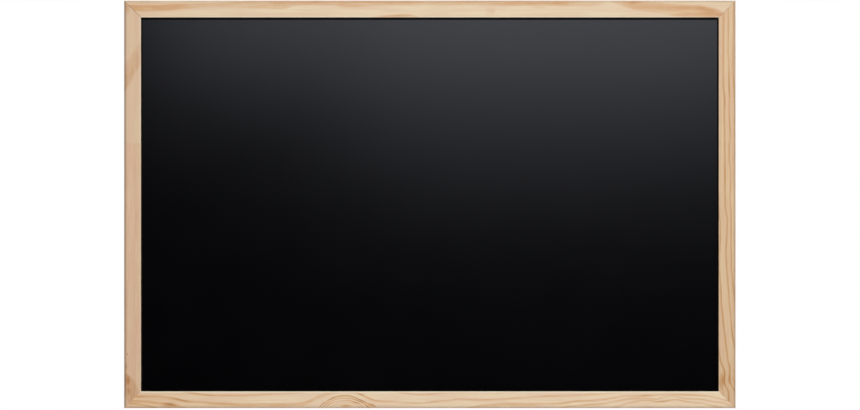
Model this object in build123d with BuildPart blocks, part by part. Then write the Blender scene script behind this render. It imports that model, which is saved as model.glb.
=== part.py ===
from build123d import *
from math import asin, atan2, cos, degrees, sin, sqrt
import os

# A wall chalkboard: a black writing panel in a mitred pine frame that hangs from two rings.
# X runs along the board's width, -Y is its front and +Z is up.
# The origin lies on the wall, behind the middle of the board. Sizes are in millimetres.

# Board and frame moulding
board_width = 600.0
board_height = 400.0
rail_face = 16.5
rail_depth = 16.0
lip_depth = 3.0
rebate_width = 4.5
outer_round = 2.2
inner_round = 1.0
back_round = 0.6

# Writing panel
panel_thickness = 3.0
panel_clearance = 0.5

# Finger joint in the left stile, measured down from the board's top edge
finger_joint_drop = 140.0
finger_length = 9.0
finger_tip = 0.8
finger_count = 4

# Wedge nails across the back of each mitre, measured along both edges from the corner
nail_insets = (2.8, 6.4)
nail_leg = 4.8
nail_sheet = 0.5
nail_drive = 10.0

# Flat points that hold the panel in its rebate
point_spacing = 150.0
point_length = 15.0
point_width = 6.0
point_sheet = 0.5
point_bite = 6.0
point_tip = 2.5

# Hanger straps, each folded round its ring and held by one screw
strap_width = 6.0
strap_sheet = 0.7
strap_fold_round = 1.0
strap_end_round = 2.2
strap_tail = 5.0
hanger_drop = 18.0

# Hanger rings
ring_wire = 1.8
ring_width = 11.0
ring_leg = 6.0
ring_corner = 1.2
ring_clearance = 0.1
ring_rest_gap = 0.3

# Hanger screws
screw_diameter = 2.5
screw_length = 9.5
screw_point = 2.5
screw_head_diameter = 5.0
screw_head_edge = 0.5
screw_head_height = 1.7
screw_hole_clearance = 0.2
screw_ring_clearance = 1.0
recess_width = 0.7
recess_span = 2.8
recess_depth = 1.0

# Rubber bumpers that hold the board's foot off the wall
bumper_height = 4.0
bumper_diameter = 9.0
bumper_taper = 0.7
bumper_round = 0.6
bumper_rise = 20.0

# How far a cut runs past what it cuts
overrun = 1.0

# Sizes that follow from those above
half_width = board_width / 2
half_height = board_height / 2
wood_back = rail_face - rebate_width
back_y = -bumper_height
panel_back_depth = rail_depth - lip_depth - panel_thickness
hanger_x = half_width - wood_back / 2
wire_radius = ring_wire / 2
knuckle_bore = wire_radius + ring_clearance
knuckle_radius = knuckle_bore + strap_sheet
pivot_y = back_y + knuckle_radius
pivot_z = half_height - hanger_drop
strap_thickness = 2 * strap_sheet
ring_arc = ring_width / 2 - wire_radius
ring_reach = ring_leg + ring_arc + wire_radius
screw_drop = ring_reach + screw_ring_clearance + screw_head_diameter / 2
screw_z = pivot_z - screw_drop
strap_reach = screw_drop + strap_tail

# The angle at which a hanging ring leans on its strap, with a small gap between them
lean_rise = strap_thickness + ring_rest_gap + wire_radius - knuckle_radius
lean_reach = ring_leg + sqrt(ring_arc**2 - (strap_width / 2) ** 2)
ring_lean = asin(lean_rise / lean_reach)

# Each side of the frame: the way its length runs and the way in to the panel
to_front = Vector(0, -1, 0)
to_wall = Vector(0, 1, 0)
sides = {
    "top": (Vector(1, 0, 0), Vector(0, 0, -1)),
    "right": (Vector(0, 0, -1), Vector(-1, 0, 0)),
    "bottom": (Vector(-1, 0, 0), Vector(0, 0, 1)),
    "left": (Vector(0, 0, 1), Vector(1, 0, 0)),
}
spans = {"top": board_width, "right": board_height, "bottom": board_width, "left": board_height}
half_across = {"top": half_height, "right": half_width, "bottom": half_height, "left": half_width}
hands = {"left": -1, "right": 1}


def edge_middle(side):
    """The middle of one side's outer edge, on the frame's back."""
    inward = sides[side][1]
    return Vector(0, back_y, 0) - inward * half_across[side]


def export(name, piece):
    """Label one finished piece and write it under its own name."""
    piece.label = name
    export_step(piece, f"parts/{name}.step")


def corner_nails(x_way, z_way):
    """Two wedge nails across one mitre, a leg of each in either rail, flush with the back."""
    corner = Vector(x_way * half_width, z_way * half_height)
    with BuildPart() as nails:
        with BuildSketch(Plane.XZ.offset(-back_y)):
            for inset in nail_insets:
                near, bend, far = inset, inset + nail_sheet, inset + nail_leg
                outline = [(near, near), (far, near), (far, bend), (bend, bend), (bend, far), (near, far)]
                with BuildLine():
                    Polyline(*[(corner.X - x_way * p, corner.Y - z_way * q) for p, q in outline], close=True)
                make_face()
        extrude(amount=nail_drive)
    return nails.part


def panel_points(side):
    """The flat points along one side, driven into the rebate's wall and lying on the panel's back."""
    along = sides[side][0]
    count = max(2, round(spans[side] / point_spacing))
    pitch = spans[side] / count
    driven_end = wood_back - point_bite
    free_end = driven_end + point_length
    back_plane = Plane(origin=edge_middle(side), x_dir=along, z_dir=to_wall)
    with BuildPart() as points:
        with BuildSketch(back_plane.offset(-panel_back_depth)):
            with GridLocations(pitch, 0, count, 1):
                Polygon(
                    (0, driven_end),
                    (point_width / 2, driven_end + point_tip),
                    (point_width / 2, free_end),
                    (-point_width / 2, free_end),
                    (-point_width / 2, driven_end + point_tip),
                    align=None,
                )
        extrude(amount=point_sheet)
    return points.part


def hanger_screw(hand):
    """A small round-headed screw with a cross recess, its head on the strap."""
    seat = Vector(hands[hand] * hanger_x, back_y + strap_thickness, screw_z)
    shank = screw_diameter / 2
    head = screw_head_diameter / 2
    with BuildPart() as screw:
        with BuildSketch(Plane(origin=seat, x_dir=(1, 0, 0), z_dir=(0, 0, 1))):
            with BuildLine():
                Polyline(
                    (0, screw_head_height),
                    (0, -screw_length),
                    (shank, screw_point - screw_length),
                    (shank, 0),
                    (head, 0),
                    (head, screw_head_edge),
                )
                TangentArc((head, screw_head_edge), (0, screw_head_height), tangent=(-1, 1))
            make_face()
        revolve(axis=Axis(seat, to_wall))
        with BuildSketch(Plane(origin=seat, z_dir=to_wall).offset(screw_head_height)):
            Rectangle(recess_span, recess_width)
            Rectangle(recess_width, recess_span)
        extrude(amount=-recess_depth, mode=Mode.SUBTRACT)
    return screw.part


def hanger_strap(hand):
    """A strip of sheet folded in two round the ring's straight bar."""
    pivot = Vector(hands[hand] * hanger_x, back_y, pivot_z)
    fold_x = strap_thickness + strap_fold_round
    fold_y = -sqrt((knuckle_radius + strap_fold_round) ** 2 - (fold_x - knuckle_radius) ** 2)
    close_angle = degrees(atan2(fold_y, fold_x - knuckle_radius))
    with BuildPart() as strap:
        with BuildSketch(Plane(origin=pivot, x_dir=to_wall, z_dir=(1, 0, 0))):
            with BuildLine():
                Line((0, -strap_reach), (0, 0))
                CenterArc((knuckle_radius, 0), knuckle_radius, 180, close_angle - 180)
                CenterArc((fold_x, fold_y), strap_fold_round, close_angle + 180, -close_angle)
                Line((strap_thickness, fold_y), (strap_thickness, -strap_reach))
                Line((strap_thickness, -strap_reach), (0, -strap_reach))
            make_face()
            with Locations((knuckle_radius, 0)):
                Circle(knuckle_bore, mode=Mode.SUBTRACT)
        extrude(amount=strap_width / 2, both=True)
        fillet(strap.edges().filter_by(Axis.Y).group_by(Axis.Z)[0], strap_end_round)
        with Locations(Plane(origin=pivot + Vector(0, strap_thickness, -screw_drop), z_dir=to_wall)):
            Hole(radius=(screw_diameter + screw_hole_clearance) / 2, depth=strap_thickness + overrun)
    return strap.part


def hanger_ring(hand):
    """A wire ring with one straight bar, hanging down and leaning on its strap."""
    pivot = Vector(hands[hand] * hanger_x, pivot_y, pivot_z)
    ring_plane = Plane(origin=pivot, x_dir=(1, 0, 0), z_dir=(0, -cos(ring_lean), -sin(ring_lean)))
    bar = ring_arc - ring_corner
    with BuildPart() as ring:
        with BuildLine(ring_plane) as loop:
            Line((0, 0), (bar, 0))
            RadiusArc((bar, 0), (ring_arc, -ring_corner), ring_corner)
            Line((ring_arc, -ring_corner), (ring_arc, -ring_leg))
            ThreePointArc((ring_arc, -ring_leg), (0, -ring_leg - ring_arc), (-ring_arc, -ring_leg))
            Line((-ring_arc, -ring_leg), (-ring_arc, -ring_corner))
            RadiusArc((-ring_arc, -ring_corner), (-bar, 0), ring_corner)
            Line((-bar, 0), (0, 0))
        with BuildSketch(Plane(origin=pivot, z_dir=(1, 0, 0))):
            Circle(wire_radius)
        sweep(path=loop.line)
    return ring.part


def bumper(hand):
    """A tapered rubber foot on the back of the frame near the bottom, with a flat end."""
    seat = Vector(hands[hand] * hanger_x, back_y, bumper_rise - half_height)
    foot = bumper_diameter / 2
    with BuildPart() as pad:
        with BuildSketch(Plane(origin=seat, x_dir=(1, 0, 0), z_dir=(0, 0, 1))):
            with BuildLine():
                Polyline((0, 0), (foot, 0), (foot - bumper_taper, bumper_height), (0, bumper_height), close=True)
            make_face()
        revolve(axis=Axis(seat, to_wall))
        fillet(pad.edges().group_by(Axis.Y)[-1], bumper_round)
    return pad.part


def mitred_rail(side, fasteners):
    """A length of the moulding, mitred at both ends and cut to take its fasteners."""
    along, inward = sides[side]
    half_span = spans[side] / 2
    with BuildPart() as rail:
        with BuildSketch(Plane(origin=edge_middle(side), x_dir=to_front, z_dir=along)) as section:
            with BuildLine():
                Polyline(
                    (0, 0),
                    (rail_depth, 0),
                    (rail_depth, rail_face),
                    (rail_depth - lip_depth, rail_face),
                    (rail_depth - lip_depth, wood_back),
                    (0, wood_back),
                    close=True,
                )
            make_face()
            front_corners = section.vertices().group_by(Axis.X)[-1].sort_by(Axis.Y)
            back_corners = section.vertices().group_by(Axis.X)[0].sort_by(Axis.Y)
            fillet(front_corners[0], outer_round)
            fillet(front_corners[-1], inner_round)
            fillet(back_corners[0], back_round)
        extrude(amount=half_span, both=True)
        for end in (-1, 1):
            corner = edge_middle(side) + along * (end * half_span)
            split(bisect_by=Plane(origin=corner, z_dir=-along * end - inward), keep=Keep.TOP)
        for fastener in fasteners:
            add(fastener, mode=Mode.SUBTRACT)
    return rail.part


# Fasteners first, because the wood is cut to take them
nails = {
    f"{z_name}_{x_name}": corner_nails(hands[x_name], z_way)
    for z_name, z_way in (("top", 1), ("bottom", -1))
    for x_name in hands
}
points = {side: panel_points(side) for side in sides}
screws = {hand: hanger_screw(hand) for hand in hands}

# Writing panel, its face against the lips of the frame
panel_inset = wood_back + panel_clearance
with BuildPart() as writing_panel:
    with BuildSketch(Plane.XZ.offset(-back_y + panel_back_depth)):
        Rectangle(board_width - 2 * panel_inset, board_height - 2 * panel_inset)
    extrude(amount=panel_thickness)

# Frame rails in one length each
with BuildPart() as top_rail:
    add(mitred_rail("top", [nails["top_left"], nails["top_right"], points["top"]]))
with BuildPart() as bottom_rail:
    add(mitred_rail("bottom", [nails["bottom_left"], nails["bottom_right"], points["bottom"]]))
with BuildPart() as right_stile:
    add(mitred_rail("right", [nails["top_right"], nails["bottom_right"], points["right"], screws["right"]]))

# The left stile is two lengths glued end to end, their fingers hidden behind a straight line
left_stile = mitred_rail("left", [nails["top_left"], nails["bottom_left"], points["left"], screws["left"]])
finger_pitch = rail_depth / finger_count
finger_z = half_height - finger_joint_drop
with BuildPart() as finger_block:
    joint_plane = Plane(origin=(-half_width - overrun, back_y, finger_z), x_dir=to_front, z_dir=(-1, 0, 0))
    with BuildSketch(joint_plane):
        with BuildLine():
            zigzag = [(-overrun, -board_height), (-overrun, 0)]
            for finger in range(finger_count):
                root = finger * finger_pitch
                middle = root + finger_pitch / 2
                zigzag.append((root + finger_tip / 2, 0))
                zigzag.append((middle - finger_tip / 2, finger_length))
                zigzag.append((middle + finger_tip / 2, finger_length))
                zigzag.append((root + finger_pitch - finger_tip / 2, 0))
            zigzag.append((rail_depth + overrun, 0))
            zigzag.append((rail_depth + overrun, -board_height))
            Polyline(*zigzag, close=True)
        make_face()
    extrude(amount=-rail_face - 2 * overrun)
with BuildPart() as left_stile_upper:
    add(left_stile)
    add(finger_block.part, mode=Mode.SUBTRACT)
with BuildPart() as left_stile_lower:
    add(left_stile)
    add(finger_block.part, mode=Mode.INTERSECT)

# Every piece goes out under its own name
export("writing_panel", writing_panel.part)
export("top_rail", top_rail.part)
export("bottom_rail", bottom_rail.part)
export("right_stile", right_stile.part)
export("left_stile_upper", left_stile_upper.part)
export("left_stile_lower", left_stile_lower.part)
for corner_name, corner_set in nails.items():
    export(f"wedge_nails_{corner_name}", corner_set)
for side, side_set in points.items():
    export(f"panel_points_{side}", side_set)
for hand in hands:
    export(f"hanger_strap_{hand}", hanger_strap(hand))
    export(f"hanger_ring_{hand}", hanger_ring(hand))
    export(f"hanger_screw_{hand}", screws[hand])
    export(f"bumper_{hand}", bumper(hand))
print(f"a hanging ring leans {degrees(ring_lean):.3f} degrees, its pivot at y {pivot_y:.3f} z {pivot_z:.3f}")
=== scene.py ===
# %% [markdown]
# # A wall chalkboard in Blender
# The board is a black hardboard panel in a slim frame of bare pine, with two small rings on its back.
# Its solids come from a CAD model, and this script dresses them: light, wood, coating, metal and rubber.
# Every size is in metres, X runs along the board, -Y is its front and Z is up, as in the CAD model.

# %% The frame and its box
import math

import bpy
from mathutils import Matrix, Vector


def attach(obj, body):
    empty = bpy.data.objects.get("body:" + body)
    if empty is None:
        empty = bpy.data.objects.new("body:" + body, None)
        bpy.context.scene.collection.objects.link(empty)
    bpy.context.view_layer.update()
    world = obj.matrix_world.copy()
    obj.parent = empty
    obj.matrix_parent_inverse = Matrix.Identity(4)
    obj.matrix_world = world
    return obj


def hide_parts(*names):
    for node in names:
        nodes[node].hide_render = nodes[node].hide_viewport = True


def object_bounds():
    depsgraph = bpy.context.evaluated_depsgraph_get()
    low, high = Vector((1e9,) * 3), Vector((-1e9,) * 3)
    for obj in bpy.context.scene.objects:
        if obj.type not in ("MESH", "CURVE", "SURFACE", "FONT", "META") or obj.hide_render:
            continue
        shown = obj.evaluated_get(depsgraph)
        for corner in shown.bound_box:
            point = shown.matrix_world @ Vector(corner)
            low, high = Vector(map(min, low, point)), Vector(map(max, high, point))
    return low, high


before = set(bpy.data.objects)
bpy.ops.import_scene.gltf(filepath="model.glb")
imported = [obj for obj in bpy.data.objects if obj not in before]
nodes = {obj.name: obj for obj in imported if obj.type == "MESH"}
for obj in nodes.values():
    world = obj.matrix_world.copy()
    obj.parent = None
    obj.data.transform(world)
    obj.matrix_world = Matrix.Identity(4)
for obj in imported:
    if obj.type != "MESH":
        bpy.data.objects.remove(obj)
cad_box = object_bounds()
scene = bpy.context.scene
board_low, board_high = cad_box
front_y = board_low.y
half_width, half_height = board_high.x, board_high.z
print("CAD box", [round(value, 4) for value in (*board_low, *board_high)])

# %% [markdown]
# ## Helpers
# Node trees are wordy in a script, so one helper adds a node with its settings and its links. It takes
# plain numbers, or other nodes whose first live output it links. A Map Range node's inputs are, in order,
# the value, the two ends it comes from and the two ends it goes to. Colours are written as the sRGB hex
# values that a paint program shows, and another helper turns them into the linear light that a renderer
# adds up. The last three start a material, end it in its shader and put it on a piece of the CAD model.

# %% Colours and nodes
MM = 0.001


def colour(hex_value):
    """An sRGB hex colour as linear red, green, blue and a full alpha."""
    parts = [int(hex_value[at:at + 2], 16) / 255 for at in (1, 3, 5)]
    linear = [part / 12.92 if part <= 0.04045 else ((part + 0.055) / 1.055) ** 2.4 for part in parts]
    return (*linear, 1.0)


def add(tree, kind, inputs=(), stops=(), points=(), **settings):
    """Add a node, give it its settings, and set or link its inputs, by number or by name.

    The kind "Math" is short for "ShaderNodeMath", and so on. A ramp's stops are positions in order, each
    with a colour or a grey. A curve node takes places only up to 100, so its points, in millimetres, go
    in as centimetres.
    """
    node = tree.nodes.new(kind if "Node" in kind else f"ShaderNode{kind}")
    for name, value in settings.items():
        setattr(node, name, value)
    for name, value in inputs.items() if isinstance(inputs, dict) else enumerate(inputs):
        if isinstance(name, str):
            socket = next(one for one in node.inputs if one.enabled and one.name == name)
        else:
            socket = node.inputs[name]
        if isinstance(value, bpy.types.Node):
            value = next(one for one in value.outputs if one.enabled)
        if isinstance(value, bpy.types.NodeSocket):
            tree.links.new(value, socket)
        elif value is not None:
            socket.default_value = value
    if stops:
        tones = [(tone, tone, tone, 1.0) if isinstance(tone, float) else colour(tone) for _, tone in stops]
        ramp = node.color_ramp.elements
        for end in (0, -1):
            ramp[end].position = stops[end][0]
            ramp[end].color = tones[end]
        for (position, _), tone in zip(stops[1:-1], tones[1:-1]):
            ramp.new(position).color = tone
    if points:
        places = [(place / 10, height) for place, height in points]
        heights = [height for _, height in points]
        mapping = node.mapping
        mapping.clip_min_x, mapping.clip_max_x = places[0][0], places[-1][0]
        mapping.clip_min_y, mapping.clip_max_y = min(heights) - 1.0, max(heights) + 1.0
        curve = mapping.curves[0].points
        curve[0].location, curve[1].location = places[0], places[-1]
        for place in places[1:-1]:
            curve.new(*place)
        for point in curve:
            point.handle_type = "AUTO_CLAMPED"
        mapping.extend = "HORIZONTAL"
        mapping.update()
    return node


# %% Materials
def new_material(name):
    """An empty material and its node tree."""
    material = bpy.data.materials.new(name)
    material.use_nodes = True
    material.node_tree.nodes.clear()
    return material, material.node_tree


def end_in_shader(tree, finish):
    """End a material in its surface shader, whose inputs are set or linked by name."""
    shader = add(tree, "BsdfPrincipled", finish)
    add(tree, "OutputMaterial", {"Surface": shader})


def dress(node_name, material):
    """Put a material in the slot of a CAD node, whose mesh stays as it is."""
    slots = nodes[node_name].data.materials
    if len(slots):
        slots[0] = material
    else:
        slots.append(material)


# %% [markdown]
# ## Camera
# The photograph looks at the board head-on, and the rails are equally wide on all four sides, so the
# camera stands far off on a long lens. In the picture, 860 pixels wide, a millimetre on the frame's
# face is 1.02 pixels. That fixes the distance, and the board's middle fixes the aim.

# %% Camera
picture_width, picture_height = 860, 410
board_middle_pixel = (429.85, 204.4)
pixels_per_mm = 1.0197
lens, sensor = 100.0, 36.0
view_width = picture_width / pixels_per_mm * MM
distance = view_width * lens / sensor
camera_data = bpy.data.cameras.new("camera")
camera_data.lens = lens
camera_data.sensor_width = sensor
camera = bpy.data.objects.new("camera", camera_data)
camera.location = (
    (picture_width / 2 - board_middle_pixel[0]) / pixels_per_mm * MM,
    front_y - distance,
    (board_middle_pixel[1] - picture_height / 2) / pixels_per_mm * MM,
)
camera.rotation_euler = (math.radians(90), 0, 0)
scene.collection.objects.link(camera)
scene.camera = camera
print("camera at", [round(value, 4) for value in camera.location])

# %% [markdown]
# ## The studio around the board
# The black face is satin, so it shows a blurred picture of the room in front of it: in the photograph
# that is grey at the top and black at the foot. The room is therefore dark straight ahead and lit in a
# ring round that, more from above and from the right. It could be built from many lamps, but a world
# whose brightness depends on direction gives the same light with less noise. Behind the board it is
# white, for the metal on the back to show. The camera itself sees plain white, but reflections don't,
# because that would lay a haze over the whole face.

# %% World
# Each stop is the cosine of an angle off straight ahead, and how bright the room is there.
room_in_front = [(0.0, 0.05), (0.4, 0.1), (0.56, 1.0), (0.78, 1.0), (0.88, 0.0), (1.0, 0.0)]
low_and_high, left_and_right = (0.95, 1.8), (0.6, 1.4)
height_reach, side_reach, back_reach = 0.5, 0.6, 0.6
scene.view_settings.view_transform = "Standard"
world = bpy.data.worlds.new("studio")
world.use_nodes = True
scene.world = world
sky = world.node_tree
sky.nodes.clear()
right, back, up = add(sky, "SeparateXYZ", [add(sky, "TexCoord").outputs["Generated"]]).outputs
ahead = add(sky, "Math", [back, -1.0], operation="MULTIPLY")
light = add(sky, "ValToRGB", [ahead], stops=room_in_front)
from_above = add(sky, "MapRange", [up, -height_reach, height_reach, *low_and_high])
from_right = add(sky, "MapRange", [right, -side_reach, side_reach, *left_and_right])
for share in (from_above, from_right):
    light = add(sky, "Math", [light, share], operation="MULTIPLY")
to_back = add(sky, "MapRange", [back, 0.0, back_reach], interpolation_type="SMOOTHSTEP")
light = add(sky, "Mix", {"Factor": to_back, "A": light, "B": 1.0}, data_type="FLOAT")
rays = add(sky, "LightPath").outputs
seen = add(sky, "Math", [rays["Is Camera Ray"], rays["Is Transmission Ray"]], operation="MAXIMUM")
light = add(sky, "Mix", {"Factor": seen, "A": light, "B": 1.0}, data_type="FLOAT")
background = add(sky, "Background", {"Color": (1, 1, 1, 1), "Strength": light})
add(sky, "OutputWorld", {"Surface": background})
print("world of", len(sky.nodes), "nodes")

# %% [markdown]
# ## Lamps
# Two softboxes hang in front of the board, a little to the right. A wide one goes up from the height of
# the board's top edge, and a smaller, weaker one reaches further down. The satin face shows them blurred,
# which makes it grey at the top, and the wide one also draws the thin shadow under the lip of the top
# rail. A third hangs behind the board, high on the left as seen from the front, so that the hangers have
# some shape.

# %% Lamps
def add_softbox(name, place, aim, size, power):
    """A rectangular softbox, in metres and watts, that shines on the aim and is hidden from the camera."""
    data = bpy.data.lights.new(name, "AREA")
    data.shape = "RECTANGLE"
    data.size, data.size_y = size
    data.energy = power
    lamp = bpy.data.objects.new(name, data)
    lamp.location = place
    lamp.rotation_euler = (Vector(aim) - Vector(place)).to_track_quat("-Z", "Y").to_euler()
    lamp.visible_camera = False
    scene.collection.objects.link(lamp)
    print(name, "at", place, "with", power, "W")


add_softbox("high_softbox", (0.1, -1.1, 0.35), (0.1, 0.0, 0.35), (1.0, 0.3), 3.0)
add_softbox("low_softbox", (0.2, -1.12, 0.23), (0.2, 0.0, 0.23), (0.6, 0.36), 0.75)
add_softbox("back_softbox", (-0.6, 1.2, 1.0), (0.0, 0.0, 0.0), (0.8, 0.8), 9.0)

# %% [markdown]
# ## Floor
# The board hangs, so the floor is well below it and out of the main view. It is a pale disc that takes
# the soft shadow and fades out at its rim, where it meets the white of the background.

# %% Floor
floor_drop, floor_radius, floor_sides = 0.9, 1.3, 96
fade_shares = (0.45, 0.98)
angles = [math.tau * step / floor_sides for step in range(floor_sides)]
rim = [(floor_radius * math.cos(angle), floor_radius * math.sin(angle), -floor_drop) for angle in angles]
floor_mesh = bpy.data.meshes.new("floor")
floor_mesh.from_pydata(rim, [], [list(range(floor_sides))])
floor = bpy.data.objects.new("floor", floor_mesh)
scene.collection.objects.link(floor)
floor_material, tree = new_material("pale_matt_floor")
object_place = add(tree, "TexCoord").outputs["Object"]
reach = add(tree, "VectorMath", [object_place, (1, 1, 0)], operation="MULTIPLY")
radius = add(tree, "VectorMath", [reach], operation="LENGTH").outputs["Value"]
fade = add(
    tree, "MapRange", [radius, *(share * floor_radius for share in fade_shares)],
    interpolation_type="SMOOTHERSTEP",
)
pale = add(tree, "BsdfDiffuse", {"Color": colour("#ECEBE8")})
clear = add(tree, "BsdfTransparent")
faded = add(tree, "MixShader", [fade, pale, clear])
add(tree, "OutputMaterial", {"Surface": faded})
floor_mesh.materials.append(floor_material)
print("floor disc at", -floor_drop, "m")

# %% [markdown]
# ## Pine
# Flat-sawn pine shows the growth rings of the tree as pale wood that darkens to an orange or brown line
# and then starts pale again. A flat texture could not go round the edges of a rail, so the wood is a field
# in space. It has three coordinates in millimetres: along the rail, across it from its outer edge, and
# into its depth, where the rings lean over. Each rail of the photograph was cut from another place in the
# tree, so each ring that shows was followed in the picture and noted as a few places in its pixels.

# %% Where each rail lies
rail_face, rail_depth, lip_depth = 16.5 * MM, 16 * MM, 3 * MM
opening_half_width, opening_half_height = half_width - rail_face, half_height - rail_face
# For each side: the axis along it and its sign, the axis across it and its sign.
rail_ways = {
    "top": ("X", 1, "Z", -1), "bottom": ("X", 1, "Z", 1),
    "left": ("Z", -1, "X", 1), "right": ("Z", -1, "X", -1),
}
half_along = {"top": half_width, "bottom": half_width, "left": half_height, "right": half_height}
half_across = {"top": half_height, "bottom": half_height, "left": half_width, "right": half_width}


def grain_place(tree, side):
    """Along the rail from its middle, across from its outer edge and in from its face, in millimetres."""
    along_axis, along_sign, across_axis, across_sign = rail_ways[side]
    parts = add(tree, "SeparateXYZ", [add(tree, "TexCoord").outputs["Object"]]).outputs
    turned = add(tree, "CombineXYZ", [parts[along_axis], parts[across_axis], parts["Y"]])
    scale = (along_sign / MM, across_sign / MM, 1 / MM)
    start = (0.0, half_across[side] / MM, -front_y / MM)
    return add(tree, "VectorMath", [turned, scale, start], operation="MULTIPLY_ADD")


def middle_pixel(side):
    """The board's middle in the picture, as pixels along and across a side."""
    column, row = board_middle_pixel
    return (column, row) if side in ("top", "bottom") else (row, column)


def on_rail(side, pixels):
    """Places in the picture, as pixels along and across a rail, in the rail's own millimetres."""
    middle_along, middle_across = middle_pixel(side)
    inward = 1 if side in ("top", "left") else -1
    outer_pixel = middle_across - inward * half_across[side] / MM * pixels_per_mm
    return [
        ((along - middle_along) / pixels_per_mm, inward * (across - outer_pixel) / pixels_per_mm)
        for along, across in pixels
    ]


inner_edge = board_middle_pixel[1] - opening_half_height / MM * pixels_per_mm
print("top rail's inner edge in the picture:", round(inner_edge, 2))

# %% [markdown]
# ### Rings and spots
# A ring is drawn where the distance across the rail to its path is small. On one side of the path it
# stops within a few tenths of a millimetre, as a year's growth does in winter, and on the other it fades
# out over its width. Width and strength may change along the rail, so each may be a number or a curve.
# A spot is a soft ellipsoid. A small one is a knot or resin, and one that is wider than the rail warms the
# wood round it.

# %% Ring lines
INWARD, OUTWARD = 1.0, -1.0
# A profile says how dark a ring is from just before its path, which is at 0.2, to where it has faded.
lead_share = 0.25
thin = [(0.0, 0.0), (0.1, 0.42), (0.25, 0.88), (0.42, 0.82), (0.62, 0.52), (0.82, 0.2), (1.0, 0.0)]
full = [(0.0, 0.0), (0.15, 0.75), (0.24, 1.0), (0.6, 0.88), (0.88, 0.7), (1.0, 0.0)]
broad = [(0.0, 0.0), (0.18, 0.8), (0.26, 1.0), (0.5, 0.85), (0.78, 0.62), (0.93, 0.3), (1.0, 0.0)]


def along_curve(tree, side, along_cm, value):
    """A number as it is, or a curve of (pixel along, value) places as a node."""
    if isinstance(value, float):
        return value
    middle = middle_pixel(side)[0]
    places = [((pixel - middle) / pixels_per_mm, height) for pixel, height in value]
    return add(tree, "FloatCurve", {"Value": along_cm}, points=places)


def ring(tree, side, along_cm, across, path, width, strength, fades, profile):
    """How dark one ring makes each place, from 0 to its strength."""
    line = add(tree, "FloatCurve", {"Value": along_cm}, points=on_rail(side, path))
    past = add(tree, "Math", [across, line], operation="SUBTRACT")
    past = add(tree, "Math", [past, fades], operation="MULTIPLY")
    width = along_curve(tree, side, along_cm, width)
    share = add(tree, "Math", [past, width], operation="DIVIDE")
    share = add(tree, "MapRange", [share, -lead_share, 1.0])
    tone = add(tree, "ValToRGB", [share], stops=profile)
    strength = along_curve(tree, side, along_cm, strength)
    return add(tree, "Math", [tone, strength], operation="MULTIPLY")


# %% Knots, resin and warm patches
def spot(tree, side, place, centre, size, strength, softness=1.0):
    """How dark one spot makes each place.

    Its size is its half length and half width in millimetres, and it goes twice as deep as it is wide.
    """
    along, across = on_rail(side, [centre])[0]
    scale = (1 / size[0], 1 / size[1], 0.5 / size[1])
    start = (-along * scale[0], -across * scale[1], 0.0)
    offset = add(tree, "VectorMath", [place, scale, start], operation="MULTIPLY_ADD")
    out = add(tree, "VectorMath", [offset], operation="LENGTH").outputs["Value"]
    return add(tree, "MapRange", [out, 1.0, 1.0 - softness, 0.0, strength], interpolation_type="SMOOTHSTEP")


# %% [markdown]
# ### One rail of pine
# The rest of the wood is the same in each rail: faint rings between the strong ones, fine fibres along the
# grain, broad patches that are pinker, outer edges a little darkened by painted shade, the inner lip paled
# by a painted highlight, and a thin dark line at the glued mitre. What is uneven in it is noise that is
# stretched along the grain. Fibres are 0.3 mm wide on real pine and are drawn 0.8 mm wide, because finer
# ones would not show in the picture. Bare planed wood has no film on it, so it is rough, with the weak shine
# of plain cellulose.

# %% Noise along the grain
# How long and how wide each kind of patch is, in millimetres.
wander_patch, bend_patch, vigour_patch = (40.0, 12.0), (90.0, 22.0), (24.0, 4.5)
pink_patch, fibre_patch = (60.0, 9.0), (28.0, 0.8)
# A noise stays near 0.5, so each is read between two values on either side of it.
noise_span, fibre_span, vigour_span, patch_span = (0.3, 0.7), (0.25, 0.75), (0.34, 0.66), (0.35, 0.65)


def wood_noise(tree, place, patch, detail=2.0, roughness=0.5):
    """A noise whose patches have about the given length and width."""
    length, width = patch
    scale = (1 / length, 1 / width, 1 / width)
    scaled = add(tree, "VectorMath", [place, scale], operation="MULTIPLY")
    return add(tree, "TexNoise", {"Vector": scaled, "Scale": 1.0, "Detail": detail, "Roughness": roughness})


# %% How dark the wood is
bend_years, vigour_ends = 1.6, (0.62, 1.14)
faint_ring = [(0.0, 0.0), (0.55, 0.25), (0.85, 1.0), (1.0, 0.0)]


def rings_and_spots(tree, side, place, moved, figure):
    """How dark each place is: 0 is pale wood, 1 a full ring, and past 1 a knot."""
    along, across, depth = add(tree, "SeparateXYZ", [moved]).outputs
    leaning = add(tree, "Math", [depth, figure["lean"], across], operation="MULTIPLY_ADD")
    along_cm = add(tree, "Math", [along, 0.1], operation="MULTIPLY")
    bend = add(tree, "Math", [wood_noise(tree, place, bend_patch, 1.0), -0.5], operation="ADD")
    years = add(tree, "Math", [leaning, figure["year_mm"]], operation="DIVIDE")
    years = add(tree, "Math", [bend, bend_years, years], operation="MULTIPLY_ADD")
    within = add(tree, "Math", [years], operation="FRACT")
    faint = add(tree, "ValToRGB", [within], stops=faint_ring)
    dark = add(tree, "Math", [faint, figure["faint"]], operation="MULTIPLY")
    for numbers in figure["rings"]:
        one = ring(tree, side, along_cm, leaning, *numbers)
        dark = add(tree, "Math", [dark, one], operation="MAXIMUM")
    vigour = add(tree, "MapRange", [wood_noise(tree, place, vigour_patch), *vigour_span, *vigour_ends])
    dark = add(tree, "Math", [dark, vigour], operation="MULTIPLY")
    for numbers in figure["spots"]:
        one = spot(tree, side, moved, *numbers)
        dark = add(tree, "Math", [dark, one], operation="ADD")
    return dark
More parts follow.
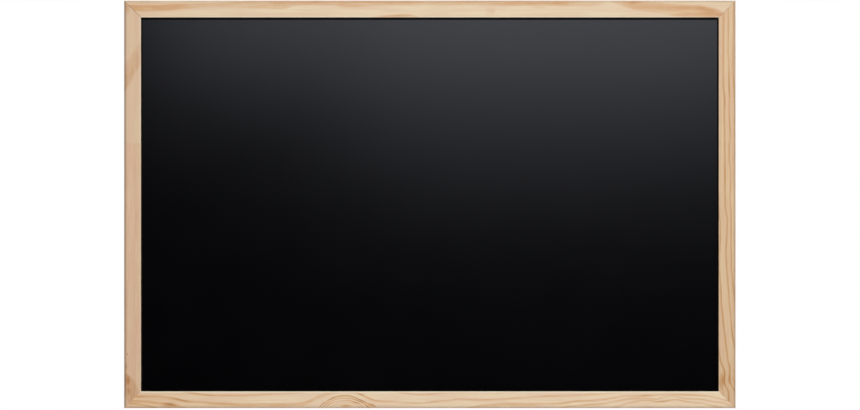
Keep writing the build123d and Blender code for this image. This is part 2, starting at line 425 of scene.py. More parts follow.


# %% Painted edge shade, painted lip highlight and glue lines
# Each pair is where a change starts and where it is full, in millimetres from an edge, a face or a joint.
arris_fade, lip_fade, face_fade = (3.2, 1.2), (14.9, 16.0), (1.6, 0.8)
glue_fade, corner_fade, corner_glue = (0.55, 0.1), (2.0, 5.5), 0.35


def edge_shade_highlight_and_glue(tree, side, place, figure):
    """How far painted shade darkens each place near the outer edge, a painted highlight pales it near the
    lip, and glue has stained it.
    """
    along, across, depth = add(tree, "SeparateXYZ", [place]).outputs
    from_arris = add(tree, "Math", [across, depth], operation="ADD")
    # Painted shade: the colour darkens towards the outer edges, by a strength given for each side.
    painted_edge_shade = add(tree, "MapRange", [from_arris, *arris_fade, 0.0, figure["arris"]])
    # Painted highlight: the colour pales along the inner lip, on the front face only.
    painted_lip_highlight = add(tree, "MapRange", [across, *lip_fade, 0.0, figure["lip"]])
    on_face = add(tree, "MapRange", [depth, *face_fade])
    painted_lip_highlight = add(tree, "Math", [painted_lip_highlight, on_face], operation="MULTIPLY")
    from_middle = add(tree, "Math", [along], operation="ABSOLUTE")
    to_mitre = add(tree, "Math", [from_middle, across], operation="ADD")
    to_mitre = add(tree, "Math", [half_along[side] / MM, to_mitre], operation="SUBTRACT")
    glued = add(tree, "MapRange", [along, -1.0, 1.0, *figure["seams"]])
    glued = add(tree, "MapRange", [to_mitre, *glue_fade, 0.0, glued])
    from_corner = add(tree, "MapRange", [across, *corner_fade, corner_glue])
    glued = add(tree, "Math", [glued, from_corner], operation="MULTIPLY")
    return painted_edge_shade, painted_lip_highlight, glued


# %% Pine material
# The first two tints are painted shade for the outer edges and a painted highlight for the lip; the third is
# glue.
painted_edge_shade_tint, painted_lip_highlight_tint, glue = "#6E4D30", "#F9EFDC", "#5A3618"
pine_roughness, fibre_relief = (0.52, 0.68), 0.12 * MM


def dress_in_pine(node_name, side, **figure):
    """Dress a length of the frame in bare planed pine: pale wood under one tint after another."""
    material, tree = new_material(f"pine_{node_name}")
    place = grain_place(tree, side)
    wander = wood_noise(tree, place, wander_patch, 4.0, 0.62).outputs["Color"]
    wander = add(tree, "VectorMath", [wander, (-0.5, -0.5, -0.5)], operation="ADD")
    moved = add(tree, "VectorMath", [wander, (0.0, figure["wander"], 0.0), place], operation="MULTIPLY_ADD")
    fibres = wood_noise(tree, moved, fibre_patch, 3.0, 0.65)
    streaks = add(tree, "MapRange", [fibres, *fibre_span, -1.0, 1.0])
    dark = rings_and_spots(tree, side, place, moved, figure)
    dark = add(tree, "Math", [streaks, figure["fibres"], dark], operation="MULTIPLY_ADD")
    past_ring = add(tree, "Math", [dark, -1.0], operation="ADD")
    pinkness = wood_noise(tree, moved, pink_patch)
    pinkness = add(tree, "MapRange", [pinkness, *patch_span], interpolation_type="SMOOTHSTEP")
    shares = (pinkness, dark, past_ring, *edge_shade_highlight_and_glue(tree, side, place, figure))
    tints = (figure["pink"], figure["ring"], figure["deep"], painted_edge_shade_tint, painted_lip_highlight_tint, glue)
    wood = colour(figure["pale"])
    for share, tint in zip(shares, tints):
        wood = add(tree, "Mix", {"Factor": share, "A": wood, "B": colour(tint)}, data_type="RGBA")
    rough = add(tree, "MapRange", [fibres, *noise_span, *pine_roughness])
    relief = add(tree, "Bump", {"Height": fibres, "Strength": 0.35, "Distance": fibre_relief})
    end_in_shader(tree, {"Base Color": wood, "Roughness": rough, "Normal": relief, "IOR": 1.5})
    dress(node_name, material)
    print(material.name, "has", len(figure["rings"]), "rings and", len(figure["spots"]), "spots")


# %% [markdown]
# ### The five lengths of the frame
# Each ring is a path of (along, across) pixels of the photograph, a width in millimetres, a strength, the
# way it fades and a profile. A spot is a centre in pixels, two half sizes in millimetres, a strength and,
# where its rim is firmer than usual, how soft that is. After them come how far the rings wander in
# millimetres, how they lean with depth, the strength of the fibres and the faint rings, a year's growth,
# the strength of the glue line at both ends, how much painted shade darkens the outer edge and a painted
# highlight pales the lip, and the four colours of the wood. The left stile is two lengths of other wood,
# glued end to end.

# %% Top rail
rings = [
    ([(124, 5.8), (142, 5.8), (162, 5.4), (182, 4.4), (202, 4), (222, 2.9), (238, 2.1), (252, 1.2),
      (276, -0.4), (300, -1.4), (430, -1.6), (584, -1.4), (735, -3)],
     [(124, 6), (162, 5.8), (182, 5.2), (202, 4.6), (222, 4.8), (240, 6.6), (262, 8.6), (284, 10.2),
      (292, 8.4), (304, 7.4), (330, 7.4), (347, 9.4), (363, 9.2), (380, 7.8), (430, 7.4), (500, 7.8),
      (584, 8.6), (610, 7)],
     [(124, 0.95), (160, 1), (190, 0.78), (230, 0.75), (275, 0.85), (300, 1), (430, 0.9), (560, 1),
      (584, 0.7), (600, 0.45), (612, 0)], INWARD, full),
    ([(470, 0.6), (482, 2), (493, 4.2), (520, 4.3), (560, 4.2), (584, 4.6), (610, 3)], 2.6,
     [(466, 0), (482, 1.1), (500, 1.3), (550, 1.3), (584, 0.7), (606, 0)], OUTWARD, thin),
    ([(150, 3.2), (176, 2.7), (193, 1.6), (208, 0.4)], 1.5, [(150, 0), (170, 0.5), (205, 0.4)],
     INWARD, thin),
    ([(290, 12.9), (326, 12.7), (350, 13.2)], 1.6, [(286, 0), (300, 0.3), (335, 0.3), (350, 0)],
     INWARD, thin),
    ([(604, -1.4), (618, 0.6), (629, 1.6), (640, 2.2), (650, 2.7), (656, 3.4), (664, 4.4), (674, 5.6),
      (681, 6.3), (688, 6.6), (699, 7), (704, 7.8), (709, 9), (714, 10.4), (719, 11.8), (724, 14),
      (735, 19)],
     [(604, 1), (618, 4.6), (631, 7.4), (644, 9.4), (655, 10.2), (664, 10.6), (674, 11), (690, 12.5),
      (735, 12.5)],
     [(604, 0), (616, 0.6), (632, 0.95), (650, 0.85), (690, 0.9), (706, 1.15), (735, 1.15)],
     INWARD, full),
    ([(366, 19.5), (378, 17.1), (386, 16.1), (393, 15.5), (401, 15), (408, 14.9), (413, 15.8),
      (417, 17.2), (422, 20)], 7.0, 1.0, INWARD, broad),
]
spots = [
    ((633, 2), (6, 1.4), 0.35, 0.9), ((124, 9), (110, 60), 0.3), ((700, 9), (90, 60), 0.12),
    ((540, 7.6), (14, 1.8), 0.4), ((490, 11.5), (7.5, 7), 0.3), ((493, 11), (2.6, 4.4), 0.2),
    ((711, 12.6), (12, 4), 0.35),
]
dress_in_pine(
    "top_rail", "top", rings=rings, spots=spots, wander=1.2, lean=-0.35, fibres=0.17, faint=0.2,
    year_mm=5.2, seams=(0.7, 0.35), arris=0.14, lip=0.3, pale="#EAD6B5", pink="#E7CCAE", ring="#D8A97B",
    deep="#B27849",
)

# %% Bottom rail
rings = [
    ([(176, 391), (183, 392.4), (193, 393.7), (202, 395), (212, 395.8), (223, 396), (240, 396.1),
      (252, 395.7), (264, 395), (276, 394.5), (286, 394), (296, 393.2), (304, 392.4), (312, 390)], 2.4,
     [(176, 0.7), (205, 1.2), (230, 1.1), (304, 0.8)], INWARD, thin),
    ([(124, 395.9), (142, 395.8), (159, 396), (165, 396.7), (172, 397.6), (179, 399), (185, 400.3),
      (193, 401.2), (205, 401.6), (213, 402.6), (230, 403.2), (250, 403.6), (276, 403.8), (290, 403.4),
      (303, 402.2), (309, 400.2), (313, 398.4), (318, 396), (323, 394.3), (329, 392.9), (340, 391.6),
      (352, 391.8), (359, 393.2), (364, 395.4), (368, 397.2), (372, 398.8), (376, 400), (384, 400.7),
      (393, 400.9), (401, 401.7), (409, 402.3), (418, 402.7), (430, 401.6), (440, 400.4), (450, 399.8),
      (460, 398.7), (470, 399), (480, 399.3), (501, 398.5), (522, 397), (540, 396), (560, 395.3),
      (584, 394.2), (604, 393.2), (624, 391)],
     [(124, 3.4), (165, 3), (195, 2.8), (212, 4.2), (290, 4.4), (303, 5.2), (320, 5), (332, 3.6),
      (350, 2.6), (735, 2.5)],
     [(124, 1.1), (165, 1), (180, 1.3), (195, 0.9), (215, 1.1), (300, 1), (320, 0.8), (345, 0.5),
      (362, 1.3), (372, 1), (390, 0.85), (470, 0.95), (600, 0.8), (620, 0.3)], OUTWARD, thin),
    ([(124, 400.4), (147, 400.8), (152, 401.6), (158, 402.5), (164, 402.9), (169, 403.3), (174, 404.5),
      (179, 405.8), (186, 408), (192, 411)], 3.2, [(124, 1), (150, 1), (165, 0.8), (185, 0.8)],
     OUTWARD, thin),
    ([(124, 402.6), (131, 402.9), (139, 403.6), (144, 404.5), (149, 405.8), (154, 407.2), (160, 410)],
     2.6, [(124, 0.9), (140, 1.15), (160, 1.2)], OUTWARD, thin),
    ([(317, 410), (319, 407.6), (321, 404.9), (324, 402.5), (329, 399.6), (334, 397.2), (339, 395.9),
      (344, 395.3), (349, 395.5), (354, 396.8), (359, 398.9), (364, 401.3), (368, 403.2), (372, 404.3),
      (374, 405.2), (376, 407), (378, 410)], 1.8,
     [(319, 0), (320.5, 2), (335, 1.9), (355, 1.9), (364, 2.1), (370, 1.7), (375, 1.3), (377, 0)],
     OUTWARD, thin),
    ([(321.5, 411), (323, 407.2), (326, 403.9), (330, 401.3), (336, 399), (343, 397.8), (349, 397.8),
      (354, 398.9), (359, 400.8), (363, 402.8), (366, 404.8), (368, 407.4), (370, 411)], 1.5,
     [(322, 0), (323.5, 1.9), (336, 1.4), (350, 1.5), (362, 2.2), (367, 2.3), (369, 0.4)], OUTWARD, thin),
    ([(324.5, 411), (326.5, 406.8), (329, 404.2), (334, 402.1), (341, 400.5), (348, 400.1), (353, 401.3),
      (358, 402.9), (361, 404.9), (363, 408), (365, 412)], 1.4,
     [(325, 0), (327, 1.6), (336, 1.1), (350, 1.3), (358, 2.1), (362, 2.3), (364, 0.4)], OUTWARD, thin),
    ([(328, 410), (330.5, 406.8), (334, 404.9), (339, 403.3), (346, 402.3), (352, 402.7), (356, 404.2),
      (358.5, 406.6), (361, 410)], 1.3, [(329, 0), (331, 1.1), (345, 0.5), (352, 0.9), (359, 1.8)],
     OUTWARD, thin),
    ([(390, 391), (399, 392.8), (406, 393.6), (413, 394.6), (422, 395.2), (430, 394.8), (440, 393.8),
      (450, 393.4), (470, 393.2), (490, 393.6), (505, 393.4), (520, 392.4), (530, 391)], 2.0,
     [(390, 0.6), (410, 1.2), (428, 1.2), (440, 0.8), (520, 0.5)], INWARD, thin),
    ([(462, 410), (472, 407), (480, 405.2), (490, 404.4), (501, 403.6), (510, 403.2), (520, 403.3),
      (540, 403.1), (560, 402.6), (567, 401.9), (572, 401.1), (578, 400.4), (584, 400.2), (594, 399.9),
      (604, 399.1), (611, 398), (617, 396.7), (624, 395.6), (637, 395.8), (644, 395.4), (651, 394.9),
      (657, 394.4), (664, 394.1), (684, 394.3), (704, 395), (714, 396.7), (721, 398.4), (726, 400),
      (735, 402.5)], [(462, 4.4), (520, 4.2), (545, 2.8), (580, 2.4), (735, 2)],
     [(462, 0.7), (490, 0.9), (545, 0.9), (575, 1.3), (620, 1), (660, 1.1), (735, 1)], OUTWARD, thin),
    ([(556, 409), (567, 406.2), (573, 405.4), (580, 405), (594, 403.9), (604, 403.1), (611, 401.8),
      (617, 400.6), (624, 399.2), (631, 398.4), (644, 398.1), (656, 398.7), (661, 397.1), (666, 396.1),
      (671, 395.6), (676, 395.9), (681, 397), (687, 398), (701, 398.6), (707, 399.9), (714, 401.2),
      (721, 402), (726, 403.4), (732, 405.5)], 2.1,
     [(556, 0.8), (580, 1.1), (655, 0.9), (676, 1), (732, 0.8)], OUTWARD, thin),
    ([(606, 411), (614, 407), (619, 405.8), (624, 403.9), (631, 402), (637, 400.8), (642, 400),
      (647, 399.9), (654, 400.9), (657, 401.3), (664, 400.9), (671, 399.6), (676, 399.1), (681, 399.9),
      (687, 401.2), (694, 402), (701, 402.8), (709, 404.5), (717, 406), (724, 409)], 2.0,
     [(606, 0.9), (650, 0.8), (663, 1), (680, 0.9), (724, 0.7)], OUTWARD, thin),
]
spots = [
    ((169.5, 405.2), (12.5, 4.6), 0.75), ((124, 399), (160, 60), 0.38), ((346, 405.9), (9.5, 2.5), 1.1),
    ((370.5, 405.8), (7.5, 3.6), 0.75), ((363, 394.2), (6, 1.3), 0.45), ((663, 401.1), (9, 1.5), 0.4),
    ((648, 406.9), (9, 1.7), 0.4), ((712, 406.2), (9.5, 1.7), 0.25), ((646, 395.4), (11, 1.5), 0.35),
]
dress_in_pine(
    "bottom_rail", "bottom", rings=rings, spots=spots, wander=1.0, lean=-0.4, fibres=0.16,
    faint=0.18, year_mm=4.6, seams=(0.05, 0.12), arris=0.24, lip=0.75, pale="#F2DBB9", pink="#EFD1B3",
    ring="#DFB07E", deep="#9C6639",
)

# %% Right stile
rings = [
    ([(-5, 733.4), (3, 733.3), (30, 733.2), (50, 732.8), (65, 732.6), (80, 733.2), (95, 733.8),
      (110, 735)], 1.8, [(-5, 0.9), (60, 0.7), (90, 1)], OUTWARD, thin),
    ([(0, 728.7), (50, 728.7), (60, 729.2), (85, 729.4), (100, 729.7), (110, 729.5), (125, 730.3),
      (137, 730.7), (147, 729.6), (157, 729.6), (167, 730.5), (187, 730.9), (197, 730.4), (205, 730.8),
      (210, 731.4), (217, 731.7), (227, 731.4), (247, 731.4), (257, 731.8), (267, 731.8), (274, 732.8),
      (290, 734), (300, 735.5), (310, 738)], 1.9,
     [(0, 0.8), (60, 0.8), (78, 1.3), (100, 1.2), (140, 0.9), (200, 0.9), (240, 1.2), (300, 1)],
     INWARD, thin),
    ([(0, 724.2), (20, 724), (50, 723.8), (80, 723.8), (90, 724.3), (100, 725.1), (112, 724.8),
      (130, 725.1), (147, 725.2), (167, 725.5), (195, 725.6), (208, 725.9), (214, 726.8), (219, 727.7),
      (227, 727.8), (234, 727.5), (244, 726.8), (254, 726.4), (262, 726.8), (274, 727.7), (283, 728.3),
      (293, 729.2), (303, 729.8), (313, 730.7), (323, 731.5), (333, 732.5), (340, 733.6), (348, 735.5),
      (356, 738)], [(0, 2.4), (100, 2.2), (200, 2.1), (356, 2)],
     [(0, 0.9), (60, 1), (110, 1.2), (200, 1.2), (230, 1.1), (340, 1.2)], INWARD, thin),
    ([(190, 716), (208, 719.4), (217, 719.9), (224, 720.8), (234, 720.7), (247, 720.4), (257, 720.2),
      (267, 720.1), (276, 720.4), (283, 721), (303, 721.9), (313, 722.9), (323, 724), (333, 725.2),
      (343, 726.3), (353, 727.5), (361, 728.3), (366, 730), (371, 730.4), (376, 730), (380, 730.1),
      (384, 731.6), (388, 733.6), (393, 737)], 2.0,
     [(190, 0.6), (224, 1.1), (300, 1.1), (353, 1.1), (376, 1.3), (393, 1.1)], INWARD, thin),
    ([(342, 717), (352, 719.8), (360, 721), (365, 722.6), (370, 724.6), (374, 725.4), (380, 724.9),
      (385, 725.9), (390, 728.3), (395, 729.3), (409, 729.2)], 2.1,
     [(342, 1.2), (370, 1.2), (380, 0.9), (388, 1.2), (409, 1)], INWARD, thin),
    ([(376, 716), (385, 720.8), (390, 722.9), (397, 723.6), (409, 724.2)], 2.0, 0.9, INWARD, thin),
    ([(90, 720.2), (125, 721.4), (150, 721), (190, 720.6)], 2.0, [(90, 0), (120, 0.4), (180, 0.3)],
     INWARD, thin),
    ([(0, 719.6), (50, 719.4), (90, 719)], 2.2, [(0, 0.4), (60, 0.3), (90, 0)], INWARD, thin),
]
spots = [
    ((379.5, 729.8), (8, 2.4), 0.6), ((380, 722.4), (11.5, 4.4), 0.8), ((379.5, 733.6), (6, 1.4), 0.4),
    ((385, 727), (45, 60), 0.12),
]
dress_in_pine(
    "right_stile", "right", rings=rings, spots=spots, wander=1.0, lean=-0.45, fibres=0.17,
    faint=0.16, year_mm=4.4, seams=(0.4, 0.1), arris=0.26, lip=0.1, pale="#E3C59F", pink="#E0BC99",
    ring="#C7935C", deep="#A8622A",
)

# %% Left stile, upper length
rings = [
    ([(-5, 182), (40, 155), (52, 146.5), (62, 140.3), (67, 137.3), (72, 134.3), (78, 131.2), (83, 128.7),
      (87, 126.2), (95, 121), (110, 112), (160, 80)], 15.0,
     [(-5, 0), (30, 0.42), (50, 0.72), (70, 0.74), (85, 0.6), (140, 0.4)], OUTWARD, broad),
]
spots = [
    ((7, 127), (9.5, 5.6), 0.65),
]
dress_in_pine(
    "left_stile_upper", "left", rings=rings, spots=spots, wander=1.6, lean=0.5, fibres=0.2,
    faint=0.16, year_mm=7.0, seams=(0.7, 0.0), arris=0.46, lip=0.4, pale="#E0C5A2", pink="#E0BFA1",
    ring="#CC9A6E", deep="#A3673A",
)

# %% Left stile, lower length
rings = [
    ([(144, 134), (180, 133), (220, 134.6), (262, 132.8), (300, 133.4), (360, 131.5)], 5.0, 0.22,
     INWARD, broad),
    ([(144, 129.5), (200, 128), (250, 129.6), (320, 127.6), (400, 128.4)], 4.0, 0.2, OUTWARD, broad),
    ([(330, 110), (366, 116), (373, 123.5), (375, 126.8), (377, 129.2), (379, 131), (382, 132.6),
      (386, 134.4), (390, 136.4), (394, 138.4), (400, 141), (409, 146)], 15.0,
     [(366, 0.6), (380, 0.72), (409, 0.72)], OUTWARD, full),
]
spots = [
    ((381, 128.2), (7, 2.8), 0.7), ((391, 128.6), (6.5, 3), 0.6), ((354.3, 127.2), (1.8, 0.8), 1.0, 0.7),
    ((366.8, 126), (4.6, 0.8), 1.0, 0.7),
]
dress_in_pine(
    "left_stile_lower", "left", rings=rings, spots=spots, wander=1.6, lean=0.5, fibres=0.24,
    faint=0.22, year_mm=3.8, seams=(0.0, 0.05), arris=0.46, lip=0.25, pale="#E1C19F", pink="#E2BC9F",
    ring="#C28B57", deep="#955B2B",
)

# %% [markdown]
# ## Writing panel
# The panel is hardboard, 3 mm of pressed brown fibre. Its face carries a satin black coating, rolled on
# thin, that takes chalk. Its reflection is soft, nearly even and a shade bluish. The back keeps the
# imprint of the wire screen it was pressed on. Both finishes are in one material, and the depth of a
# place decides which one it gets, so no face has to be picked. Along the lip, at the top and at the
# sides, the photograph has a thin dark line. There the coating turns a little, and so mirrors a darker
# part of the room.

# %% Coated hardboard
panel_thickness, coating_reach = 3 * MM, 0.2 * MM
mottle_size, speckle_size, grit_size, wire_spacing = 45 * MM, 0.7 * MM, 1.6 * MM, 1.6 * MM
painted_groove_shade, mottle_shade = 0.22, 0.16
raw_browns = [(0.42, "#553A24"), (0.66, "#735135"), (0.9, "#8B6846")]
coating_blacks = [(0.3, "#010102"), (0.7, "#020203")]
raw_roughness, satin_roughness = 0.85, (0.235, 0.245)
relief_depth = 0.1 * MM
margin_width, margin_rise, margin_narrower_at_sides = 2.4 * MM, 0.48 * MM, 1.7


def screen_imprint(tree, object_place):
    """The imprint of the wire screen, from 0 where its wires lay to 1 between them."""
    wave = (math.pi / wire_spacing, 0.0, math.pi / wire_spacing)
    waves = add(tree, "VectorMath", [object_place, wave], operation="MULTIPLY")
    waves = add(tree, "VectorMath", [waves], operation="SINE")
    waves = add(tree, "VectorMath", [waves], operation="ABSOLUTE")
    waves = add(tree, "SeparateXYZ", [waves])
    return add(tree, "Math", [waves.outputs["X"], waves.outputs["Z"]], operation="MULTIPLY")


def margin_slope(tree, here):
    """How high the coating lies along the lip: a slope up to its full height, and level from there on."""
    sideways = add(tree, "Math", [here.outputs["X"]], operation="ABSOLUTE")
    from_side = add(tree, "Math", [opening_half_width, sideways], operation="SUBTRACT")
    from_side = add(tree, "Math", [from_side, margin_narrower_at_sides], operation="MULTIPLY")
    from_top = add(tree, "Math", [opening_half_height, here.outputs["Z"]], operation="SUBTRACT")
    nearest = add(tree, "Math", [from_side, from_top], operation="MINIMUM")
    return add(tree, "MapRange", [nearest, 0.0, margin_width, 0.0, margin_rise])


def coated_hardboard():
    """Satin black coating on the front face, raw screen-backed hardboard elsewhere."""
    material, tree = new_material("satin_black_coated_hardboard")
    object_place = add(tree, "TexCoord").outputs["Object"]
    here = add(tree, "SeparateXYZ", [object_place])
    coated_to = front_y + lip_depth + coating_reach
    coated = add(tree, "Math", [here.outputs["Y"], coated_to], operation="LESS_THAN")
    mottle, speckle, grit = [
        add(tree, "TexNoise", {"Vector": object_place, "Scale": 1 / size, "Detail": detail})
        for size, detail in ((mottle_size, 4.0), (speckle_size, 2.0), (grit_size, 2.0))
    ]
    screen = screen_imprint(tree, object_place)
    # Painted shade: the screen's wire grooves are darkened in the colour of the raw back.
    shade = add(tree, "Math", [screen, painted_groove_shade, speckle], operation="MULTIPLY_ADD")
    shade = add(tree, "Math", [mottle, mottle_shade, shade], operation="MULTIPLY_ADD")
    brown = add(tree, "ValToRGB", [shade], stops=raw_browns)
    black = add(tree, "ValToRGB", [mottle], stops=coating_blacks)
    tone = add(tree, "Mix", {"Factor": coated, "A": brown, "B": black}, data_type="RGBA")
    satin = add(tree, "MapRange", [mottle, *noise_span, *satin_roughness])
    rough = add(tree, "Mix", {"Factor": coated, "A": raw_roughness, "B": satin}, data_type="FLOAT")
    height = add(tree, "Mix", {"Factor": coated, "A": screen, "B": grit}, data_type="FLOAT")
    relief = add(tree, "Bump", {"Height": height, "Strength": 0.12, "Distance": relief_depth})
    margin = add(tree, "Math", [margin_slope(tree, here), coated], operation="MULTIPLY")
    relief = add(tree, "Bump", {"Height": margin, "Strength": 1.0, "Distance": 1.0, "Normal": relief})
    end_in_shader(tree, {
        "Base Color": tone, "Roughness": rough, "Normal": relief, "IOR": 1.4,
        "Specular IOR Level": 0.38, "Specular Tint": colour("#EEF1FF"),
    })
    return material


dress("writing_panel", coated_hardboard())
print("panel coated to", round(coating_reach / MM, 1), "mm behind its face")

# %% [markdown]
# ## Metal and rubber
# The hangers, rings and screws are steel with a bright zinc plating, the nails are bright rolled strip,
# and the points are blued strip. A metal has no colour of its own beneath the shine, so each differs in
# the tint of its reflection and in how much rolling, bending and handling have blurred it: drawn wire is
# the brightest, a screw is greyed by its driver, and blueing leaves a dark slate grey.

# %% Metal
def metal(name, light_tint, dark_tint, roughness, patch_size):
    """A metal whose tint and blur vary in patches of a given size."""
    material, tree = new_material(name)
    object_place = add(tree, "TexCoord").outputs["Object"]
    patches = add(tree, "TexNoise", {"Vector": object_place, "Scale": 1 / patch_size, "Detail": 3.0})
    tint = add(tree, "ValToRGB", [patches], stops=[*zip(patch_span, (dark_tint, light_tint))])
    rough = add(tree, "MapRange", [patches, *noise_span, *roughness])
    end_in_shader(tree, {"Base Color": tint, "Roughness": rough, "Metallic": 1.0})
    return material


zinc_plate = metal("bright_zinc_plated_sheet", "#D3D5D8", "#B9BCC0", (0.24, 0.4), 2 * MM)
zinc_wire = metal("bright_zinc_plated_wire", "#D6D8DA", "#BEC1C4", (0.18, 0.3), 1.5 * MM)
zinc_screw = metal("zinc_plated_screw", "#CFD1D2", "#A9ACAE", (0.22, 0.36), 1.2 * MM)
blued_strip = metal("blued_steel_strip", "#5F656E", "#3D434C", (0.3, 0.45), 3 * MM)
bright_strip = metal("bright_rolled_strip", "#C4C4C2", "#8F8F8E", (0.3, 0.5), 1 * MM)
for hand in ("left", "right"):
    dress(f"hanger_strap_{hand}", zinc_plate)
    dress(f"hanger_ring_{hand}", zinc_wire)
    dress(f"hanger_screw_{hand}", zinc_screw)
print("zinc on the hangers")

# %% [markdown]
# Two round feet of soft black rubber keep the foot of the board off the wall. Moulded rubber is matt,
# and it collects pale dust, which is what shows that it isn't black paint.

# %% Rubber
def rubber(name):
    """Matt black rubber, a little dusty."""
    material, tree = new_material(name)
    object_place = add(tree, "TexCoord").outputs["Object"]
    dust = add(tree, "TexNoise", {"Vector": object_place, "Scale": 1 / (1.8 * MM), "Detail": 4.0})
    tone = add(tree, "ValToRGB", [dust], stops=[(0.4, "#141414"), (0.75, "#2A2927")])
    relief = add(tree, "Bump", {"Height": dust, "Strength": 0.2, "Distance": 0.08 * MM})
    end_in_shader(tree, {"Base Color": tone, "Roughness": 0.7, "Normal": relief, "IOR": 1.5})
    return material


bumper_rubber = rubber("matt_black_rubber")
for hand in ("left", "right"):
    dress(f"bumper_{hand}", bumper_rubber)
print("rubber on the bumpers")

# %% [markdown]
# ## Points and nails
# Fourteen flat points hold the panel in its rebate, and two bent nails lie across the back of each mitre.
# They could be copied by hand, but both are one small shape in a row, which is what Geometry Nodes are
# for. Each tree has its sizes as named inputs, so a row is a few numbers. Its result is then kept as a
# plain mesh, which stands for the plainer solid of the CAD model.

# %% Trees and their results
def new_shape_tree(name, **inputs):
    """A geometry tree with named inputs, whose kinds follow from their starting values."""
    tree = bpy.data.node_groups.new(name, "GeometryNodeTree")
    tree.interface.new_socket(name="Geometry", in_out="OUTPUT", socket_type="NodeSocketGeometry")
    kinds = {int: "NodeSocketInt", float: "NodeSocketFloat", tuple: "NodeSocketVector"}
    for label, value in inputs.items():
        kind = kinds.get(type(value), "NodeSocketMaterial")
        socket = tree.interface.new_socket(name=label, in_out="INPUT", socket_type=kind)
        if value is not None:
            socket.default_value = value
    return tree, add(tree, "NodeGroupInput").outputs


def finish_row(tree, given, row, shape, askew=None):
    """End a shape tree: a shape on each place of a row, moved to its side as one mesh of one steel."""
    driven = add(
        tree, "GeometryNodeInstanceOnPoints", {"Points": row, "Instance": shape, "Rotation": askew}
    )
    placed = add(
        tree, "GeometryNodeTransform",
        {"Geometry": driven, "Translation": given["Place"], "Rotation": given["Turn"]},
    )
    whole = add(tree, "GeometryNodeRealizeInstances", [placed])
    finished = add(tree, "GeometryNodeSetMaterial", {"Geometry": whole, "Material": given["Steel"]})
    add(tree, "NodeGroupOutput", [finished])
    print(tree.name, "tree of", len(tree.nodes), "nodes")


def grow(name, tree, node_name, slot, **inputs):
    """Run a shape tree once and keep its result as the piece that stands for a CAD node."""
    piece = bpy.data.objects.new(name, bpy.data.meshes.new(name))
    scene.collection.objects.link(piece)
    modifier = piece.modifiers.new("shape", "NODES")
    modifier.node_group = tree
    sockets = {item.name: item.identifier for item in tree.interface.items_tree if item.in_out == "INPUT"}
    for label, value in inputs.items():
        modifier[sockets[label]] = value
    evaluated = piece.evaluated_get(bpy.context.evaluated_depsgraph_get())
    mesh = bpy.data.meshes.new_from_object(evaluated)
    piece.modifiers.remove(modifier)
    piece.data = mesh
    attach(piece, "board")
    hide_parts(node_name)
    print(name, len(mesh.polygons), "faces", [round(value / MM, 1) for value in piece.dimensions])


# %% [markdown]
# A row's own x runs along a side, clockwise as seen from the front, its y points inward and its z to the
# wall. So a row needs only a turn in the board's plane and the place that it starts from.

# %% Sides and corners of the back
quarter_turn = math.pi / 2
panel_back_y = front_y + lip_depth + panel_thickness
frame_back_y = front_y + rail_depth
# For each side: its turn, its middle in half boards, its number of points, and where it starts.
sides = {
    "top": (0.0, (0, 1), 4, "top_left", (-1, 1)),
    "right": (quarter_turn, (1, 0), 3, "top_right", (1, 1)),
    "bottom": (math.pi, (0, -1), 4, "bottom_right", (1, -1)),
    "left": (-quarter_turn, (-1, 0), 3, "bottom_left", (-1, -1)),
}
print("panel's back at", round(panel_back_y, 4), "and frame's back at", round(frame_back_y, 4))

# %% [markdown]
# ### Panel points
# A point is a flat tab of blued spring steel, 15 mm long. A driver shoots its sharp end into the wall of
# the rebate, and the rest presses on the panel, with its tail sprung a little off it. The tab starts as a
# flat grid that is narrowed at one end and lifted at the other, and then gets its thickness. Points are
# driven by hand, so a fixed seed turns each by a degree or so.

# %% The shape of a point
tab_columns, tab_rows = 7, 25
tail_rounding, tail_narrowest, spring_power = 1.4 * MM, 0.62, 4.0
weld_distance = 0.02 * MM
points, given = new_shape_tree(
    "panel_points", Count=4, Spacing=150 * MM, Length=15 * MM, Width=6 * MM, Tip=2.5 * MM, Sheet=0.5 * MM,
    Spring=0.5 * MM, Reach=6 * MM, Looseness=0.02, Seed=3, Turn=(0.0, 0.0, 0.0), Place=(0.0, 0.0, 0.0),
    Steel=None,
)
tab = add(
    points, "GeometryNodeMeshGrid",
    {"Size X": given["Width"], "Size Y": given["Length"], "Vertices X": tab_columns, "Vertices Y": tab_rows},
)
flat = add(points, "SeparateXYZ", [add(points, "GeometryNodeInputPosition")])
from_tip = add(points, "Math", [given["Length"], 0.5, flat.outputs["Y"]], operation="MULTIPLY_ADD")
from_tail = add(points, "Math", [given["Length"], from_tip], operation="SUBTRACT")
tip_share = add(points, "Math", [from_tip, given["Tip"]], operation="DIVIDE", use_clamp=True)
tail_share = add(
    points, "MapRange", [from_tail, 0.0, tail_rounding, tail_narrowest],
    interpolation_type="SMOOTHSTEP",
)
share = add(points, "Math", [tip_share, tail_share], operation="MULTIPLY")
narrowed = add(points, "Math", [flat.outputs["X"], share], operation="MULTIPLY")
onward = add(points, "Math", [from_tip, given["Reach"]], operation="ADD")
lift = add(points, "Math", [from_tip, given["Length"]], operation="DIVIDE")
lift = add(points, "Math", [lift, spring_power], operation="POWER")
lift = add(points, "Math", [lift, given["Spring"]], operation="MULTIPLY")
formed = add(points, "CombineXYZ", [narrowed, onward, lift])
blank = add(points, "GeometryNodeSetPosition", {"Geometry": tab, "Position": formed})
topped = add(
    points, "GeometryNodeExtrudeMesh",
    {"Mesh": blank, "Offset": (0.0, 0.0, 1.0), "Offset Scale": given["Sheet"], "Individual": False},
)
closed = add(points, "GeometryNodeJoinGeometry", [topped])
points.links.new(add(points, "GeometryNodeFlipFaces", [blank]).outputs[0], closed.inputs[0])
point = add(points, "GeometryNodeMergeByDistance", {"Geometry": closed, "Distance": weld_distance})
print("a point of", tab_columns, "by", tab_rows, "places")

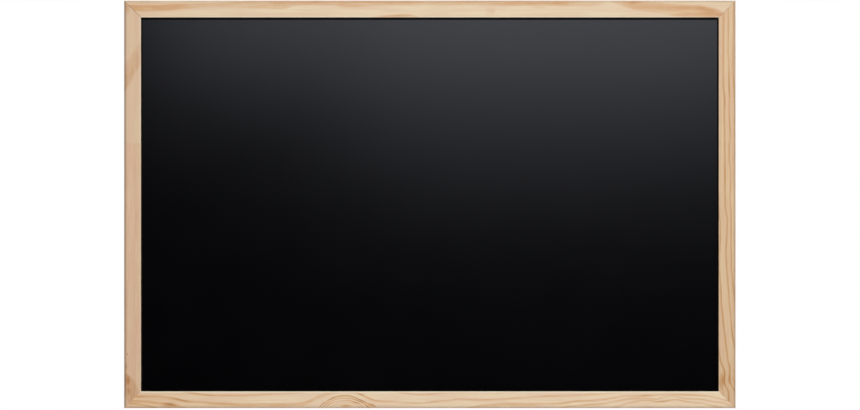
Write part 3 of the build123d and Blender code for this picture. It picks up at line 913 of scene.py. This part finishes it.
# %% A row of points
gaps = add(points, "Math", [given["Count"], -1.0], operation="ADD")
row_length = add(points, "Math", [gaps, given["Spacing"]], operation="MULTIPLY")
row_start = add(points, "Math", [row_length, -0.5], operation="MULTIPLY")
start = add(points, "CombineXYZ", [row_start])
step = add(points, "CombineXYZ", [given["Spacing"]])
row = add(
    points, "GeometryNodeMeshLine", {"Count": given["Count"], "Start Location": start, "Offset": step}
)
other_way = add(points, "Math", [given["Looseness"], -1.0], operation="MULTIPLY")
askew = add(
    points, "FunctionNodeRandomValue",
    {"Min": other_way, "Max": given["Looseness"], "Seed": given["Seed"]}, data_type="FLOAT",
)
askew = add(points, "CombineXYZ", [0.0, 0.0, askew])
finish_row(points, given, row, point, askew)
for seed, (side, (turn, (across, up), count, _, _)) in enumerate(sides.items()):
    grow(
        f"blued_points_{side}", points, f"panel_points_{side}", "point_steel",
        Count=count, Spacing=2 * half_along[side] / count, Seed=seed, Turn=(-quarter_turn, turn, 0.0),
        Place=(across * half_width, panel_back_y, up * half_height), Steel=blued_strip,
    )

# %% [markdown]
# ### Wedge nails
# A framer's press drives these into the back of the mitre. Each is a strip of steel, bent to a right
# angle with curled ends that grip the wood, and only its upper edge shows. The tree draws that bent line
# through five points, rounds its corners and sweeps the strip's section along it. The nails of a corner
# lie behind each other on the mitre. Their edges stand 0.08 mm clear of the wood.

# %% Wedge nails
bend_steps = 4
nails, given = new_shape_tree(
    "wedge_nails", Count=2, Inset=2.8 * MM, Step=3.6 * MM, Leg=4.8 * MM, Sheet=0.5 * MM, Drive=10 * MM,
    Curl=0.7 * MM, Bend=0.6 * MM, Proud=0.08 * MM, Turn=(0.0, 0.0, 0.0), Place=(0.0, 0.0, 0.0), Steel=None,
)
near = add(nails, "Math", [given["Sheet"], 0.5], operation="MULTIPLY")
far = add(nails, "Math", [given["Leg"], near], operation="SUBTRACT")
curled = add(nails, "Math", [near, given["Curl"]], operation="ADD")
place_number = add(nails, "GeometryNodeInputIndex")
bent = add(nails, "GeometryNodeIndexSwitch", {"Index": place_number}, data_type="VECTOR")
corners = [(far, curled), (far, near), (near, near), (near, far), (curled, far)]
while len(bent.index_switch_items) < len(corners):
    bent.index_switch_items.new()
for number, (x, y) in enumerate(corners):
    corner = add(nails, "CombineXYZ", [x, y, 0.0])
    nails.links.new(corner.outputs[0], bent.inputs[number + 1])
line = add(nails, "GeometryNodeMeshLine", {"Count": len(corners)})
line = add(nails, "GeometryNodeSetPosition", {"Geometry": line, "Position": bent})
line = add(nails, "GeometryNodeMeshToCurve", [line])
line = add(
    nails, "GeometryNodeFilletCurve",
    {"Curve": line, "Count": bend_steps, "Radius": given["Bend"], "Limit Radius": True}, mode="POLY",
)
line = add(nails, "GeometryNodeSetCurveNormal", [line], mode="Z_UP")
section = add(
    nails, "GeometryNodeCurvePrimitiveQuadrilateral", {"Width": given["Sheet"], "Height": given["Drive"]}
)
strip = add(nails, "GeometryNodeCurveToMesh", {"Curve": line, "Profile Curve": section, "Fill Caps": True})
sunk = add(nails, "Math", [given["Drive"], -0.5, given["Proud"]], operation="MULTIPLY_ADD")
start = add(nails, "CombineXYZ", [given["Inset"], given["Inset"], sunk])
step = add(nails, "CombineXYZ", [given["Step"], given["Step"], 0.0])
row = add(nails, "GeometryNodeMeshLine", {"Count": given["Count"], "Start Location": start, "Offset": step})
finish_row(nails, given, row, strip)
for turn, _, _, corner_name, (across, up) in sides.values():
    grow(
        f"bright_nails_{corner_name}", nails, f"wedge_nails_{corner_name}", "nail_steel",
        Turn=(-quarter_turn, turn, 0.0), Place=(across * half_width, frame_back_y, up * half_height),
        Steel=bright_strip,
    )
